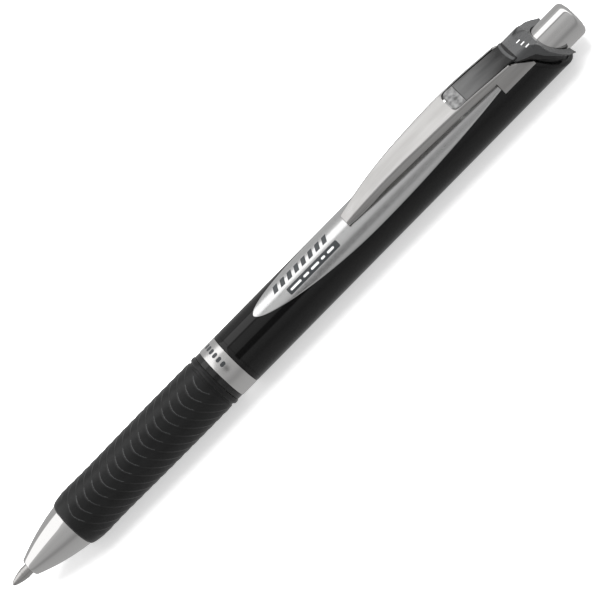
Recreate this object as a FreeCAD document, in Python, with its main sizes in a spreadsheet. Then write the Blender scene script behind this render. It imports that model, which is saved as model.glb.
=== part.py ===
"""Retractable gel pen, modelled as separate pieces.

Every piece is drawn in pen coordinates: X runs from the writing point (0) to the end of the
push button, Z points from the pen's axis to the clip. Each finished piece is then placed so
that the origin is under the middle of the pen, on the surface that the pen lies on.
"""
import FreeCAD, Part
import math
import os
import re
import Sketcher
from FreeCAD import Vector

SHEET = "Sizes"

# alias, value in millimetres (or a plain number), what it is
DIMENSIONS = [
    ("overall_length", 145.0, "writing point to the end of the push button, point out"),
    ("slack", 0.02, "gap between pieces that are assembled face to face"),
    ("joint_gap", 0.1, "gap between pieces that move against each other"),
    ("overcut", 1.0, "how far cutting shapes run past a face"),
    ("cutter_reach", 12.0, "how far wide cutting shapes reach from the axis"),
    # nose cone
    ("nose_front", 4.5, "front rim of the nose cone"),
    ("nose_rear", 15.65, "rear shoulder of the nose cone"),
    ("nose_rim_radius", 1.66, "flat front rim"),
    ("nose_front_radius", 1.9, "cone behind the rounded rim"),
    ("nose_rear_radius", 4.78, "cone at its shoulder"),
    ("nose_rim_round", 0.25, "radius of the rim's rounding"),
    ("nose_rim_length", 0.2, "length of the rim's rounding"),
    ("nose_bulge", 46.5, "radius of the cone's convex outline"),
    ("point_hole_radius", 1.3, "hole that guides the writing point"),
    ("spring_seat", 8.4, "shoulder that the return spring presses on"),
    ("spring_bore_radius", 2.4, "bore round the spring"),
    ("spring_bore_end", 13.2, "rear of the spring's bore"),
    ("nose_core_radius", 3.2, "bore of the threaded spigot"),
    ("spigot_radius", 3.72, "threaded spigot"),
    ("spigot_end", 22.5, "rear of the threaded spigot"),
    # front tube, under the grip
    ("tube_front", 15.7, "front of the tube and of the grip"),
    ("tube_radius", 4.4, "tube under the grip"),
    ("tube_thread_radius", 3.8, "bore that takes the spigot"),
    ("tube_thread_end", 24.0, "rear of that bore"),
    ("tube_bore_radius", 3.4, "bore behind the thread"),
    ("collar_front", 53.1, "dark collar behind the grip"),
    ("collar_radius", 5.45, "dark collar"),
    ("band_front", 54.3, "silver band"),
    ("band_rear", 58.1, "silver band"),
    ("band_seat_radius", 4.9, "seat of the silver band"),
    ("band_edge", 0.12, "bevel of the silver band"),
    ("tube_rear", 70.0, "rear of the tube, inside the barrel"),
    # rubber grip
    ("grip_front_radius", 4.88, "front edge"),
    ("grip_round_end", 18.5, "end of the rounded front"),
    ("grip_round", 6.5, "radius of the rounded front"),
    ("grip_swell_radius", 5.45, "behind the rounded front"),
    ("grip_waist", 24.0, "narrowest place"),
    ("grip_waist_radius", 5.37, "narrowest place"),
    ("grip_hip", 40.0, "widest place"),
    ("grip_hip_radius", 5.5, "widest place"),
    ("grip_bead_front", 52.05, "bead at the rear of the grip"),
    ("grip_groove_radius", 5.3, "groove in front of the bead"),
    ("grip_groove_width", 0.4, "groove in front of the bead"),
    ("bead_radius", 5.65, "bead, the widest place of the pen's round body"),
    ("bead_round", 0.2, "bevel of the bead"),
    # barrel
    ("barrel_radius", 5.55, "outside of the barrel"),
    ("barrel_bore_radius", 4.6, "bore of the barrel"),
    ("barrel_end", 136.8, "slanted rear end, on the pen's axis"),
    ("barrel_end_slope", 0.74, "how far the end moves forward for each millimetre of height"),
    # inlay on the clip side
    ("inlay_front", 66.2, "front tip of the lens-shaped inlay"),
    ("inlay_widest", 94.4, "widest place"),
    ("inlay_half_width", 4.45, "half of its width, seen from above"),
    ("inlay_rear", 126.1, "rear end, under the clip's root"),
    ("inlay_rear_length", 46.9, "rear semi-axis of its outline"),
    ("inlay_depth", 0.28, "thickness"),
    # clip
    ("clip_front", 89.8, "free end"),
    ("clip_front_height", 6.76, "top of the free end above the axis"),
    ("clip_crest", 109.0, "highest place"),
    ("clip_crest_height", 9.07, "highest place above the axis"),
    ("clip_split", 126.1, "where the springy arm meets the root"),
    ("clip_split_height", 7.98, "top of the clip there"),
    ("clip_front_round", 68.0, "radius of the top in front of the crest"),
    ("clip_rear_round", 87.5, "radius of the top behind the crest"),
    ("clip_front_half_width", 1.22, "half width of the free end"),
    ("clip_half_width", 2.95, "half width at the root"),
    ("clip_side_round", 380.0, "radius of the sides, seen from above"),
    ("clip_sheet", 0.5, "thickness of the sheet on top"),
    ("clip_cheek", 0.35, "thickness of the folded sides"),
    ("clip_side_height", 1.95, "height of the folded sides"),
    ("clip_foot_length", 2.4, "length of the free end that rests on the barrel"),
    ("clip_foot_blend", 7.2, "length in which the sides become shallow behind it"),
    ("clip_slot_front", 117.5, "front of the slot round the cap's tongue"),
    ("clip_slot_half_width", 2.5, "half width of that slot"),
    ("clip_slot_corner", 0.8, "rounded corners of that slot"),
    # root of the clip
    ("root_front", 126.2, "front edge"),
    ("root_rear", 133.8, "rear edge of the flared sides"),
    ("root_drop", 0.56, "how much lower its top is at the rear edge"),
    ("root_flare_half_width", 4.05, "half width on the barrel"),
    ("root_flare_height", 3.8, "lower edge of the flared sides"),
    ("root_flare_top", 6.7, "height where the sides start to flare"),
    ("root_web_height", 6.15, "top of the web between the sides"),
    # smoke-coloured tail cap
    ("cap_front", 139.4, "slanted front face, on the pen's axis"),
    ("cap_front_slope", 1.25, "how far it moves forward for each millimetre of height"),
    ("cap_top", 6.95, "top of the hump"),
    ("cap_half_width", 2.95, "half width of the hump"),
    ("cap_top_rear", 135.7, "rear of the flat top"),
    ("cap_brow_rear", 136.3, "rear of the hump under its rounded edge"),
    ("cap_brow_height", 6.35, "rear of the hump under its rounded edge"),
    ("cap_saddle_top_rear", 137.0, "saddle over the push button"),
    ("cap_saddle_top_height", 3.7, "saddle over the push button"),
    ("cap_saddle_low_rear", 139.4, "saddle beside the push button"),
    ("cap_saddle_low_height", 0.2, "saddle beside the push button"),
    ("cap_wing_rear", 140.35, "pointed end of the side wings"),
    ("cap_wing_height", -0.76, "pointed end of the side wings"),
    ("cap_bore_radius", 3.85, "bore round the push button"),
    ("cap_sleeve_radius", 4.58, "sleeve inside the barrel"),
    ("cap_sleeve_front", 124.2, "front of the sleeve"),
    ("cap_recess", 0.3, "how far the sleeve stays inside the barrel's end"),
    ("tongue_front", 117.8, "front of the tongue in the clip's slot"),
    ("tongue_half_width", 2.35, "half width of the tongue"),
    ("tongue_front_height", 8.8, "top of the tongue at its front"),
    ("tongue_rear_height", 7.3, "top of the tongue at the hump"),
    ("tongue_rear", 132.0, "where the tongue ends in the hump"),
    ("tongue_floor_front", 7.0, "underside at the front"),
    ("tongue_floor", 6.25, "underside over the clip's web"),
    # push button and click mechanism
    ("button_front", 129.0, "front edge of the push button's skirt"),
    ("button_radius", 3.7, "push button"),
    ("button_wall", 0.5, "wall of the push button"),
    ("button_round", 1.15, "rounded edge of the push button"),
    ("button_dome", 0.15, "height of the domed end"),
    ("button_flat_radius", 2.0, "flat middle of the domed end"),
    ("button_roof", 1.4, "thickness of the push button's end"),
    ("thrust_front", 118.6, "toothed front of the thrust tube"),
    ("thrust_radius", 3.15, "thrust tube"),
    ("thrust_bore_radius", 1.9, "bore of the thrust tube"),
    ("thrust_bore_end", 128.0, "end of that bore"),
    ("tooth_depth", 1.2, "teeth of the thrust tube"),
    ("tooth_half_width", 1.0, "teeth of the thrust tube"),
    ("tooth_count", 8, "teeth of the thrust tube"),
    ("guide_front", 111.0, "cam guide"),
    ("guide_rear", 124.0, "cam guide"),
    ("guide_radius", 4.58, "cam guide"),
    ("guide_bore_radius", 3.75, "bore of the cam guide"),
    ("land_front", 114.5, "raised lands inside the guide"),
    ("land_rear", 122.0, "raised lands inside the guide"),
    ("land_radius", 3.3, "bore between the lands"),
    ("rib_count", 4, "ribs of the rotor and slots between the lands"),
    ("rib_half_width", 0.6, "ribs of the rotor"),
    ("rib_radius", 3.6, "ribs of the rotor"),
    ("rib_front", 112.0, "ribs of the rotor"),
    ("rib_rear", 116.0, "ribs of the rotor"),
    ("rotor_front", 110.6, "rotor, against the refill's plug"),
    ("rotor_rear", 118.4, "rotor, against the thrust tube"),
    ("rotor_radius", 2.9, "rotor"),
    ("rotor_stem_radius", 1.8, "stem in the thrust tube"),
    ("rotor_stem_end", 124.0, "stem in the thrust tube"),
    # refill
    ("ball_radius", 0.35, "writing ball of a 0.7 mm line"),
    ("ball_gap", 0.02, "running clearance of the ball"),
    ("lip_front", 0.28, "lip that holds the ball"),
    ("lip_wall", 0.06, "thickness of that lip"),
    ("socket_end", 0.72, "floor of the ball's socket"),
    ("ink_channel_radius", 0.25, "channel behind the ball"),
    ("ink_channel_end", 2.6, "channel behind the ball"),
    ("point_cone_end", 2.85, "rear of the writing point's cone"),
    ("point_cone_radius", 1.08, "rear of the writing point's cone"),
    ("point_radius", 1.12, "shank of the writing point"),
    ("point_bore_radius", 0.6, "bore of the shank"),
    ("point_bore_front", 3.2, "bore of the shank"),
    ("point_end", 16.0, "rear of the shank, inside the holder"),
    ("holder_front", 12.5, "holder of the writing point"),
    ("holder_front_radius", 1.45, "bevelled front edge"),
    ("holder_radius", 1.6, "holder inside the spring"),
    ("holder_shoulder", 25.6, "shoulder that the spring presses on"),
    ("holder_shoulder_radius", 2.6, "shoulder that the spring presses on"),
    ("holder_collar", 27.0, "collar in front of the ink tube"),
    ("holder_plug_radius", 2.33, "stub in the ink tube"),
    ("holder_end", 33.0, "stub in the ink tube"),
    ("holder_bore_radius", 0.8, "ink feed through the holder"),
    ("ink_tube_front", 27.5, "ink tube"),
    ("ink_tube_rear", 108.0, "ink tube"),
    ("ink_tube_radius", 3.0, "ink tube"),
    ("ink_tube_bore", 2.35, "bore of the ink tube"),
    ("ink_rear", 86.0, "level of the ink"),
    ("grease_rear", 91.0, "rear of the grease follower"),
    ("fill_radius", 2.32, "ink and grease in the tube"),
    ("plug_front", 104.0, "plug of the ink tube"),
    ("plug_rear", 110.5, "plug of the ink tube"),
    ("vent_radius", 0.5, "air hole through the plug"),
    # return spring
    ("coil_radius", 2.0, "middle of the wire to the axis"),
    ("wire_radius", 0.2, "spring wire"),
    ("coil_pitch", 1.85, "distance from turn to turn"),
    ("coil_turns", 9, "number of turns"),
]

doc = FreeCAD.newDocument("gel_pen")
sheet = doc.addObject("Spreadsheet::Sheet", SHEET)
nodes = []


def fill_sheet():
    for row, (alias, value, meaning) in enumerate(DIMENSIONS, start=1):
        sheet.set(f"A{row}", alias)
        sheet.set(f"B{row}", str(value))
        sheet.set(f"C{row}", meaning)
        sheet.setAlias(f"B{row}", alias)
    doc.recompute()


def bound(formula):
    """The formula with every alias pointing into the sheet."""
    return re.sub(r"\b[a-z][a-z_]+\b", lambda word: f"{SHEET}.{word.group()}", str(formula))


def number(formula):
    """What a formula is worth now."""
    return float(sheet.evalExpression(bound(formula)))


def finish(thing, label):
    """Names a finished piece and moves it from pen coordinates to the part's frame."""
    thing.Label = label
    thing.setExpression(".Placement.Base.x", bound("-overall_length / 2"))
    thing.setExpression(".Placement.Base.z", bound("bead_radius"))
    nodes.append(thing)
    return thing


# ---------------------------------------------------------------- sketches

def arc_between(start, end, radius):
    """Arc from start to end that bulges to the left of that direction."""
    chord = end.sub(start)
    rise = math.sqrt(radius ** 2 - (chord.Length / 2) ** 2)
    left = Vector(-chord.y, chord.x, 0).normalize()
    centre = (start + end) * 0.5 - left * rise
    begin = math.atan2(end.y - centre.y, end.x - centre.x)
    stop = math.atan2(start.y - centre.y, start.x - centre.x)
    if stop < begin:
        stop += 2 * math.pi
    return Part.ArcOfCircle(Part.Circle(centre, Vector(0, 0, 1), radius), begin, stop)


def fix_point(sketch, edge, vertex, place):
    """Ties a corner of the outline to the sheet."""
    for axis, line, formula in (("X", -2, place[0]), ("Y", -1, place[1])):
        if str(formula) == "0":
            sketch.addConstraint(Sketcher.Constraint("PointOnObject", edge, vertex, line))
            continue
        at = sketch.addConstraint(
            Sketcher.Constraint("Distance" + axis, -1, 1, edge, vertex, number(formula)))
        sketch.setExpression(f"Constraints[{at}]", bound(formula))


def draw(sketch, outline):
    """Closed outline of corners (x, y) in formulas; a third formula is the radius of the arc
    from that corner to the next, bulging to the left of the direction of travel."""
    corners = [Vector(number(c[0]), number(c[1]), 0) for c in outline]
    ends = []
    for index, corner in enumerate(outline):
        start = corners[index]
        end = corners[(index + 1) % len(corners)]
        if len(corner) == 3:
            edge = sketch.addGeometry(arc_between(start, end, number(corner[2])))
            at = sketch.addConstraint(Sketcher.Constraint("Radius", edge, number(corner[2])))
            sketch.setExpression(f"Constraints[{at}]", bound(corner[2]))
            ends.append((edge, 2, 1))
        else:
            edge = sketch.addGeometry(Part.LineSegment(start, end))
            ends.append((edge, 1, 2))
    for index, (edge, first, _) in enumerate(ends):
        before = ends[index - 1]
        sketch.addConstraint(Sketcher.Constraint("Coincident", before[0], before[2], edge, first))
        fix_point(sketch, edge, first, outline[index])
    return sketch


def body_sketch(body, name, role, outline=None):
    """Sketch on one of a body's own origin planes."""
    sketch = body.newObject("Sketcher::SketchObject", name)
    plane = [f for f in body.Origin.OriginFeatures if f.Role == role][0]
    sketch.AttachmentSupport = [(plane, "")]
    sketch.MapMode = "FlatFace"
    if outline:
        draw(sketch, outline)
    return sketch


def turned_body(name, outline):
    """Body made by turning an outline of (position, radius) about the pen's axis."""
    body = doc.addObject("PartDesign::Body", name)
    sketch = body_sketch(body, name + "_profile", "XZ_Plane", outline)
    turn = body.newObject("PartDesign::Revolution", name + "_turned")
    turn.Profile = sketch
    turn.ReferenceAxis = (sketch, ["H_Axis"])
    turn.Angle = 360
    sketch.Visibility = False
    doc.recompute()
    return body


def pattern(body, feature, count, name):
    """Repeats a feature round the pen's axis."""
    ring = body.newObject("PartDesign::PolarPattern", name)
    ring.Originals = [feature]
    axis = [f for f in body.Origin.OriginFeatures if f.Role == "X_Axis"][0]
    ring.Axis = (axis, [""])
    ring.Angle = 360
    ring.setExpression("Occurrences", bound(count))
    body.Tip = ring
    doc.recompute()
    return ring


def slab(name, outline, plane, half_width):
    """Outline in the side view (XZ), the plan (XY) or the end view (YZ), extruded both ways."""
    sketch = doc.addObject("Sketcher::SketchObject", name + "_outline")
    turns = {
        "side": FreeCAD.Rotation(Vector(1, 0, 0), 90),
        "plan": FreeCAD.Rotation(),
        "end": FreeCAD.Rotation(Vector(1, 1, 1), 120),
    }
    normals = {"side": Vector(0, -1, 0), "plan": Vector(0, 0, 1), "end": Vector(1, 0, 0)}
    sketch.Placement = FreeCAD.Placement(Vector(), turns[plane])
    draw(sketch, outline)
    block = doc.addObject("Part::Extrusion", name)
    block.Base = sketch
    block.DirMode = "Custom"
    block.Dir = normals[plane]
    block.Solid = True
    block.Symmetric = True
    block.setExpression("LengthFwd", bound(f"2 * ({half_width})"))
    return block


def rod(name, start, end, radius):
    """Cylinder along the pen's axis."""
    cylinder = doc.addObject("Part::Cylinder", name)
    cylinder.Placement = FreeCAD.Placement(Vector(), FreeCAD.Rotation(Vector(0, 1, 0), 90))
    cylinder.setExpression(".Placement.Base.x", bound(start))
    cylinder.setExpression("Height", bound(f"({end}) - ({start})"))
    cylinder.setExpression("Radius", bound(radius))
    return cylinder


def cut(name, base, tool):
    result = doc.addObject("Part::Cut", name)
    result.Base = base
    result.Tool = tool
    return result


def common(name, *shapes):
    result = doc.addObject("Part::MultiCommon", name)
    result.Shapes = list(shapes)
    return result


def fuse(name, *shapes):
    result = doc.addObject("Part::MultiFuse", name)
    result.Shapes = list(shapes)
    result.Refine = True
    return result


def mirrored_plan(side):
    """Closed plan outline from one side's corners (x, half width), front to rear."""
    upper = [(c[0], c[1]) + tuple(c[2:]) for c in side]
    lower = []
    for index in range(len(side) - 1, -1, -1):
        arc = tuple(side[index - 1][2:]) if index else ()
        lower.append((side[index][0], f"-({side[index][1]})") + arc)
    return upper + lower


# ---------------------------------------------------------------- front end

def make_nose_cone():
    outline = [
        ("nose_front", "point_hole_radius"),
        ("nose_front", "nose_rim_radius", "nose_rim_round"),
        ("nose_front + nose_rim_length", "nose_front_radius", "nose_bulge"),
        ("nose_rear", "nose_rear_radius"),
        ("nose_rear", "spigot_radius"),
        ("spigot_end", "spigot_radius"),
        ("spigot_end", "nose_core_radius"),
        ("spring_bore_end", "nose_core_radius"),
        ("spring_bore_end", "spring_bore_radius"),
        ("spring_seat", "spring_bore_radius"),
        ("spring_seat", "point_hole_radius"),
    ]
    finish(turned_body("nose_cone", outline), "nose_cone")


def make_front_tube():
    outline = [
        ("tube_front", "tube_thread_radius"),
        ("tube_front", "tube_radius"),
        ("collar_front", "tube_radius"),
        ("collar_front", "collar_radius"),
        ("band_front", "collar_radius"),
        ("band_front", "band_seat_radius"),
        ("band_rear", "band_seat_radius"),
        ("band_rear", "barrel_bore_radius - slack"),
        ("tube_rear", "barrel_bore_radius - slack"),
        ("tube_rear", "tube_bore_radius"),
        ("tube_thread_end", "tube_bore_radius"),
        ("tube_thread_end", "tube_thread_radius"),
    ]
    finish(turned_body("front_tube", outline), "front_tube")


def make_grip_sleeve():
    outline = [
        ("tube_front", "tube_radius + slack"),
        ("tube_front", "grip_front_radius", "grip_round"),
        ("grip_round_end", "grip_swell_radius"),
        ("grip_waist", "grip_waist_radius"),
        ("grip_hip", "grip_hip_radius"),
        ("grip_bead_front - grip_groove_width", "grip_hip_radius"),
        ("grip_bead_front - grip_groove_width", "grip_groove_radius"),
        ("grip_bead_front", "grip_groove_radius"),
        ("grip_bead_front", "bead_radius - bead_round"),
        ("grip_bead_front + bead_round", "bead_radius"),
        ("collar_front - slack - bead_round", "bead_radius"),
        ("collar_front - slack", "bead_radius - bead_round"),
        ("collar_front - slack", "tube_radius + slack"),
    ]
    finish(turned_body("grip_sleeve", outline), "grip_sleeve")


def make_trim_band():
    outline = [
        ("band_front + slack", "band_seat_radius + slack"),
        ("band_front + slack", "barrel_radius - band_edge"),
        ("band_front + slack + band_edge", "barrel_radius"),
        ("band_rear - slack - band_edge", "barrel_radius"),
        ("band_rear - slack", "barrel_radius - band_edge"),
        ("band_rear - slack", "band_seat_radius + slack"),
    ]
    finish(turned_body("trim_band", outline), "trim_band")


# ---------------------------------------------------------------- barrel and inlay

def inlay_outline(name, margin):
    """Prism over the inlay's plan: two half ellipses that meet at the widest place."""
    front_length = number("inlay_widest - inlay_front") + margin
    rear_length = number("inlay_rear_length")
    half_width = number("inlay_half_width") + margin
    middle = Vector(number("inlay_widest"), 0, 0)
    rear_x = number("inlay_rear") + margin
    rear_angle = math.acos((rear_x - middle.x) / rear_length)

    def ellipse_arc(length, begin, stop):
        return Part.ArcOfEllipse(Part.Ellipse(middle, length, half_width), begin, stop).toShape()

    front = ellipse_arc(front_length, math.pi / 2, 3 * math.pi / 2)
    upper = ellipse_arc(rear_length, rear_angle, math.pi / 2)
    lower = ellipse_arc(rear_length, 3 * math.pi / 2, 2 * math.pi - rear_angle)
    rear_half_width = half_width * math.sin(rear_angle)
    close = Part.makeLine(Vector(rear_x, -rear_half_width, 0), Vector(rear_x, rear_half_width, 0))
    wire = Part.Wire(Part.__sortEdges__([front, upper, lower, close]))
    prism = doc.addObject("Part::Feature", name)
    prism.Shape = Part.Face(wire).extrude(Vector(0, 0, 2 * number("barrel_radius")))
    return prism


def make_barrel():
    start = "band_rear + slack"
    outer = rod("barrel_outer", start, "overall_length", "barrel_radius")
    bore = rod("barrel_bore", "band_rear", "overall_length + overcut", "barrel_bore_radius")
    end_low = "barrel_end + barrel_end_slope * cutter_reach"
    end_high = "barrel_end - barrel_end_slope * cutter_reach"
    keep = slab("barrel_side", [
        ("band_rear", "-cutter_reach"),
        ("band_rear", "cutter_reach"),
        (end_high, "cutter_reach"),
        (end_low, "-cutter_reach"),
    ], "side", "cutter_reach")
    floor = rod("recess_floor", "band_rear", "overall_length",
                "barrel_radius - inlay_depth - slack")
    recess = cut("inlay_recess", inlay_outline("inlay_recess_plan", number("slack")), floor)
    tube = cut("barrel_tube", outer, bore)
    slanted = common("barrel_slanted", tube, keep)
    finish(cut("barrel", slanted, recess), "barrel")


def make_inlay_plate():
    skin = rod("inlay_skin", "inlay_front - overcut", "inlay_rear + overcut", "barrel_radius")
    core = rod("inlay_core", "inlay_front - 2 * overcut", "inlay_rear + 2 * overcut",
               "barrel_radius - inlay_depth")
    shell = cut("inlay_shell", skin, core)
    finish(common("inlay_plate", shell, inlay_outline("inlay_plan", 0.0)), "inlay_plate")


# ---------------------------------------------------------------- clip

def clip_plan(name, inset, front, rear):
    """Plan of the clip's arm, drawn in by inset."""
    side = [
        (front, f"clip_front_half_width - {inset}", "clip_side_round"),
        (rear, f"clip_half_width - {inset}"),
    ]
    return slab(name, mirrored_plan(side), "plan", "cutter_reach")


def make_clip_arm():
    foot = "barrel_radius + joint_gap / 2"
    front = "clip_front"
    outer = slab("clip_side", [
        (front, foot),
        (front, "clip_front_height", "clip_front_round"),
        ("clip_crest", "clip_crest_height", "clip_rear_round"),
        ("clip_split", "clip_split_height"),
        ("clip_split", "clip_split_height - clip_side_height"),
        ("clip_crest", "clip_crest_height - clip_side_height"),
        ("clip_front + clip_foot_blend", "barrel_radius + clip_side_height / 2"),
        ("clip_front + clip_foot_length", foot),
    ], "side", "clip_half_width")
    inner = slab("clip_channel_side", [
        ("clip_front + clip_sheet", "barrel_radius - overcut"),
        ("clip_front + clip_sheet", "clip_front_height - clip_sheet", "clip_front_round"),
        ("clip_crest", "clip_crest_height - clip_sheet", "clip_rear_round"),
        ("clip_split", "clip_split_height - clip_sheet"),
        ("clip_split + overcut", "clip_split_height - clip_sheet"),
        ("clip_split + overcut", "barrel_radius - overcut"),
    ], "side", "clip_half_width")
    body = common("clip_solid", outer, clip_plan("clip_plan", "0", "clip_front", "clip_split"))
    channel = common("clip_channel", inner,
                     clip_plan("clip_channel_plan", "clip_cheek", "clip_front", "clip_split"))
    slot = slab("clip_slot", mirrored_plan([
        ("clip_slot_front", "clip_slot_half_width - clip_slot_corner", "clip_slot_corner"),
        ("clip_slot_front + clip_slot_corner", "clip_slot_half_width"),
        ("clip_split + overcut", "clip_slot_half_width"),
    ]), "plan", "cutter_reach")
    opened = cut("clip_folded", body, channel)
    finish(cut("clip_arm", opened, slot), "clip_arm")


def make_clip_root():
    """Flared sides on the barrel, joined by a web under the cap's tongue."""
    top = "clip_split_height"
    edge = f"cap_front - joint_gap - cap_front_slope * ({top} - root_drop)"
    section = slab("root_section", [
        ("-root_flare_half_width", "root_flare_height"),
        ("-clip_half_width", "root_flare_top"),
        ("-clip_half_width", top),
        ("-clip_slot_half_width", top),
        ("-clip_slot_half_width", "root_web_height"),
        ("clip_slot_half_width", "root_web_height"),
        ("clip_slot_half_width", top),
        ("clip_half_width", top),
        ("clip_half_width", "root_flare_top"),
        ("root_flare_half_width", "root_flare_height"),
    ], "end", "overall_length")
    side = slab("root_side", [
        ("root_front", "root_flare_height - overcut"),
        ("root_front", top),
        (edge, f"{top} - root_drop"),
        ("root_rear", "(cap_front - joint_gap - root_rear) / cap_front_slope"),
        ("root_rear", "root_flare_height - overcut"),
    ], "side", "2 * clip_half_width")
    barrel = rod("root_seat", "root_front - overcut", "root_rear + overcut", "barrel_radius + slack")
    finish(cut("clip_root", common("root_solid", section, side), barrel), "clip_root")


# ---------------------------------------------------------------- tail cap

def saddle_corners():
    """Rear edge of the cap in side view, from the wings up to the hump."""
    return [
        ("cap_wing_rear", "cap_wing_height"),
        ("cap_saddle_low_rear", "cap_saddle_low_height"),
        ("cap_saddle_top_rear", "cap_saddle_top_height"),
        ("cap_brow_rear", "cap_brow_height"),
    ]


def make_tail_cap():
    corners = saddle_corners()
    front_top = "cap_front - cap_front_slope * cap_top"
    side = slab("cap_side", corners + [("cap_top_rear", "cap_top"), (front_top, "cap_top")],
                "side", "cutter_reach")
    round_body = rod("cap_round", "guide_front", "overall_length", "barrel_radius")
    hump = slab("cap_hump", [
        ("-cap_half_width", "0"),
        ("-cap_half_width", "cap_top + overcut"),
        ("cap_half_width", "cap_top + overcut"),
        ("cap_half_width", "0"),
    ], "end", "overall_length")
    clear = slab("cap_over_barrel", [
        (front_top, "barrel_radius + slack"),
        ("barrel_end + joint_gap - barrel_end_slope * (barrel_radius + slack)",
         "barrel_radius + slack"),
        ("barrel_end + joint_gap + barrel_end_slope * cutter_reach", "-cutter_reach"),
        (front_top, "-cutter_reach"),
    ], "side", "cutter_reach")
    shell = cut("cap_shell", common("cap_outer", fuse("cap_mass", round_body, hump), side), clear)
    sleeve_end = "barrel_end - cap_recess"
    sleeve_side = slab("sleeve_side", [
        ("cap_sleeve_front", "-barrel_radius"),
        ("cap_sleeve_front", "barrel_radius"),
        ("cap_brow_rear", "barrel_radius"),
    ] + corners[2::-1] + [
        (f"{sleeve_end} - barrel_end_slope * cap_wing_height", "cap_wing_height"),
        (f"{sleeve_end} + barrel_end_slope * barrel_radius", "-barrel_radius"),
    ], "side", "cutter_reach")
    sleeve = common("cap_sleeve", sleeve_side,
                    rod("sleeve_rod", "cap_sleeve_front", "overall_length", "cap_sleeve_radius"))
    tongue = slab("cap_tongue", [
        ("tongue_front", "tongue_floor_front"),
        ("tongue_front", "tongue_front_height"),
        ("clip_split", "clip_split_height - joint_gap"),
        (f"cap_front - cap_front_slope * tongue_rear_height", "tongue_rear_height"),
        ("tongue_rear", "cap_top"),
        ("tongue_rear", "tongue_floor"),
        ("clip_split", "tongue_floor"),
    ], "side", "tongue_half_width")
    bore = rod("cap_bore", "guide_front", "overall_length + overcut", "cap_bore_radius")
    finish(cut("tail_cap", fuse("cap_solid", shell, sleeve, tongue), bore), "tail_cap")


# ---------------------------------------------------------------- click mechanism

def make_plunger():
    edge = "overall_length - button_dome"
    outline = [
        ("button_front", "button_radius - button_wall"),
        ("button_front", "button_radius"),
        (f"{edge} - button_round", "button_radius", "button_round"),
        (edge, "button_radius - button_round"),
        ("overall_length", "button_flat_radius"),
        ("overall_length", "0"),
        ("overall_length - button_roof", "0"),
        ("overall_length - button_roof", "button_radius - button_wall"),
    ]
    finish(turned_body("plunger", outline), "plunger")


def make_thrust_tube():
    rear = "overall_length - button_roof - slack"
    outline = [
        ("thrust_front", "thrust_bore_radius"),
        ("thrust_front", "thrust_radius"),
        (rear, "thrust_radius"),
        (rear, "0"),
        ("thrust_bore_end", "0"),
        ("thrust_bore_end", "thrust_bore_radius"),
    ]
    body = turned_body("thrust_tube", outline)
    before = body.Shape.Volume
    teeth = body_sketch(body, "tooth_outline", "XZ_Plane", [
        ("thrust_front - overcut", "tooth_half_width"),
        ("thrust_front", "tooth_half_width"),
        ("thrust_front + tooth_depth", "0"),
        ("thrust_front", "-tooth_half_width"),
        ("thrust_front - overcut", "-tooth_half_width"),
    ])
    notch = body.newObject("PartDesign::Pocket", "tooth_notch")
    notch.Profile = teeth
    notch.Type = "Length"
    notch.setExpression("Length", bound("2 * thrust_radius"))
    doc.recompute()
    pattern(body, notch, "tooth_count", "tooth_ring")
    if body.Shape.Volume >= before:
        raise RuntimeError("the teeth of the thrust tube cut nothing")
    finish(body, "thrust_tube")


def make_rotor():
    outline = [
        ("rotor_front", "0"),
        ("rotor_front", "rotor_radius"),
        ("rotor_rear", "rotor_radius"),
        ("rotor_rear", "rotor_stem_radius"),
        ("rotor_stem_end", "rotor_stem_radius"),
        ("rotor_stem_end", "0"),
    ]
    body = turned_body("rotor", outline)
    ribs = body_sketch(body, "rib_outline", "XZ_Plane", [
        ("rib_front", "0"),
        ("rib_front", "rib_radius"),
        ("rib_rear", "rib_radius"),
        ("rib_rear + rib_half_width", "0"),
    ])
    rib = body.newObject("PartDesign::Pad", "rib")
    rib.Profile = ribs
    rib.setExpression("Length", bound("2 * rib_half_width"))
    rib.SideType = "Symmetric"
    doc.recompute()
    pattern(body, rib, "rib_count", "rib_ring")
    finish(body, "rotor")


def make_cam_guide():
    outline = [
        ("guide_front", "guide_bore_radius"),
        ("guide_front", "guide_radius"),
        ("guide_rear", "guide_radius"),
        ("guide_rear", "guide_bore_radius"),
        ("land_rear", "guide_bore_radius"),
        ("land_rear", "land_radius"),
        ("land_front", "land_radius"),
        ("land_front", "guide_bore_radius"),
    ]
    body = turned_body("cam_guide", outline)
    before = body.Shape.Volume
    slots = body_sketch(body, "slot_outline", "XZ_Plane", [
        ("land_front", "rotor_radius"),
        ("land_front", "guide_bore_radius"),
        ("land_rear", "guide_bore_radius"),
        ("land_rear", "rotor_radius"),
    ])
    slot = body.newObject("PartDesign::Pocket", "slot")
    slot.Profile = slots
    slot.Type = "Length"
    slot.setExpression("Length", bound("2 * (rib_half_width + joint_gap)"))
    slot.SideType = "Symmetric"
    doc.recompute()
    pattern(body, slot, "rib_count", "slot_ring")
    if body.Shape.Volume >= before:
        raise RuntimeError("the slots of the cam guide cut nothing")
    finish(body, "cam_guide")


# ---------------------------------------------------------------- refill

def make_refill_ball():
    ball = doc.addObject("Part::Sphere", "refill_ball_shape")
    ball.setExpression("Radius", bound("ball_radius"))
    ball.Label = "refill_ball"
    ball.setExpression(".Placement.Base.x", bound("ball_radius - overall_length / 2"))
    ball.setExpression(".Placement.Base.z", bound("bead_radius"))
    nodes.append(ball)


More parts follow.
